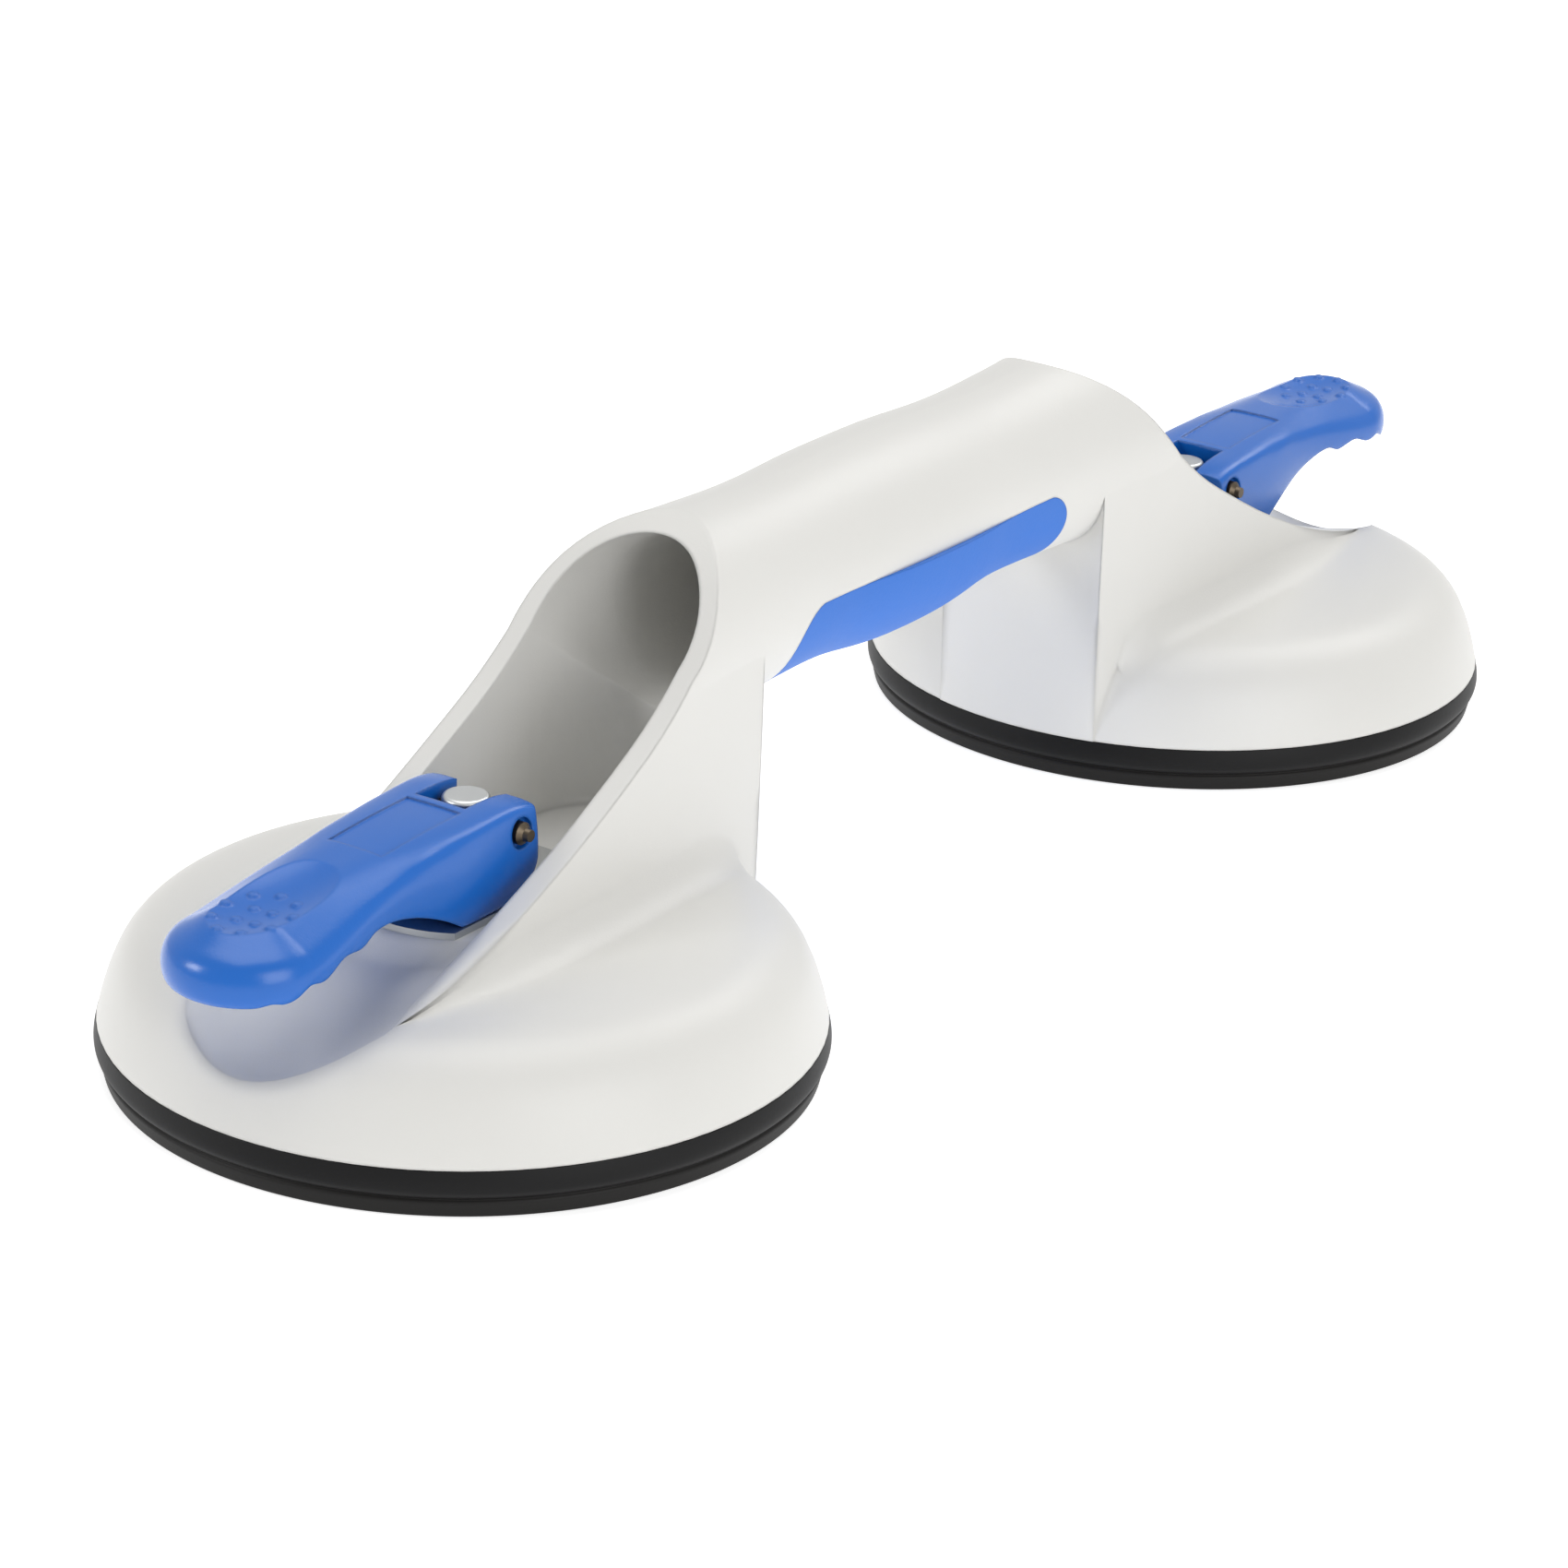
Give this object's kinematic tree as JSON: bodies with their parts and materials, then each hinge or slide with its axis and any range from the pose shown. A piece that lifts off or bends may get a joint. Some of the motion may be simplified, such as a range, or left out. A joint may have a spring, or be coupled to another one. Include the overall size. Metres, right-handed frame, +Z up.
{
  "type": "floor tile suction lifter",
  "caption": "Hand lifter with a suction cup at each end of a raised tubular handle, cam levers and a soft grip insert.",
  "frame": {"origin": "on the floor under the middle of the handle, midway between the cups", "axes": "+X along the handle from cup a to cup b, +Y across it, +Z up"},
  "size_m": [0.3564, 0.12, 0.0788],
  "materials": {
    "housing_plastic": "satin off-white moulding",
    "grip_soft": "soft blue insert, matt",
    "lever_plastic": "satin blue moulding",
    "zinc_plate": "zinc plated",
    "stud_steel": "zinc plated, turned",
    "pin_steel": "plain brownish steel",
    "disc_steel": "plain steel, bonded into rubber",
    "pad_rubber": "black rubber, slight sheen"
  },
  "bodies": {
    "housing": {"housing": "housing_plastic", "grip_insert": "grip_soft", "wear_plate_a": "zinc_plate", "wear_plate_b": "zinc_plate", "suction_pad_a": "pad_rubber", "suction_pad_b": "pad_rubber"},
    "stud_a": {"draw_stud_a": "stud_steel", "pivot_pin_a": "pin_steel", "insert_disc_a": "disc_steel"},
    "lever_a": {"lever_a": "lever_plastic"},
    "stud_b": {"draw_stud_b": "stud_steel", "pivot_pin_b": "pin_steel", "insert_disc_b": "disc_steel"},
    "lever_b": {"lever_b": "lever_plastic"}
  },
  "joints": [
    {"name": "stud_slide_a", "type": "slide", "parent": "housing", "child": "stud_a", "axis": [0, 0, -1], "range_m": [0, 0.0077], "deforming": ["suction_pad_a"]},
    {"name": "lever_turn_a", "type": "hinge", "parent": "stud_a", "child": "lever_a", "pos_m": [-0.1116, 0, 0.042], "axis": [0, 1, 0], "range_deg": [0, 90]},
    {"name": "stud_slide_b", "type": "slide", "parent": "housing", "child": "stud_b", "axis": [0, 0, -1], "range_m": [-0.00053, 0.00721], "deforming": ["suction_pad_b"]},
    {"name": "lever_turn_b", "type": "hinge", "parent": "stud_b", "child": "lever_b", "pos_m": [0.1116, 0, 0.04149], "axis": [0, -1, 0], "range_deg": [-6, 84]}
  ],
  "couplings": [
    {"joint": "stud_slide_a", "follows": "lever_turn_a", "m_per_rad": 0.0049},
    {"joint": "stud_slide_b", "follows": "lever_turn_b", "m_per_rad": 0.0049}
  ]
}
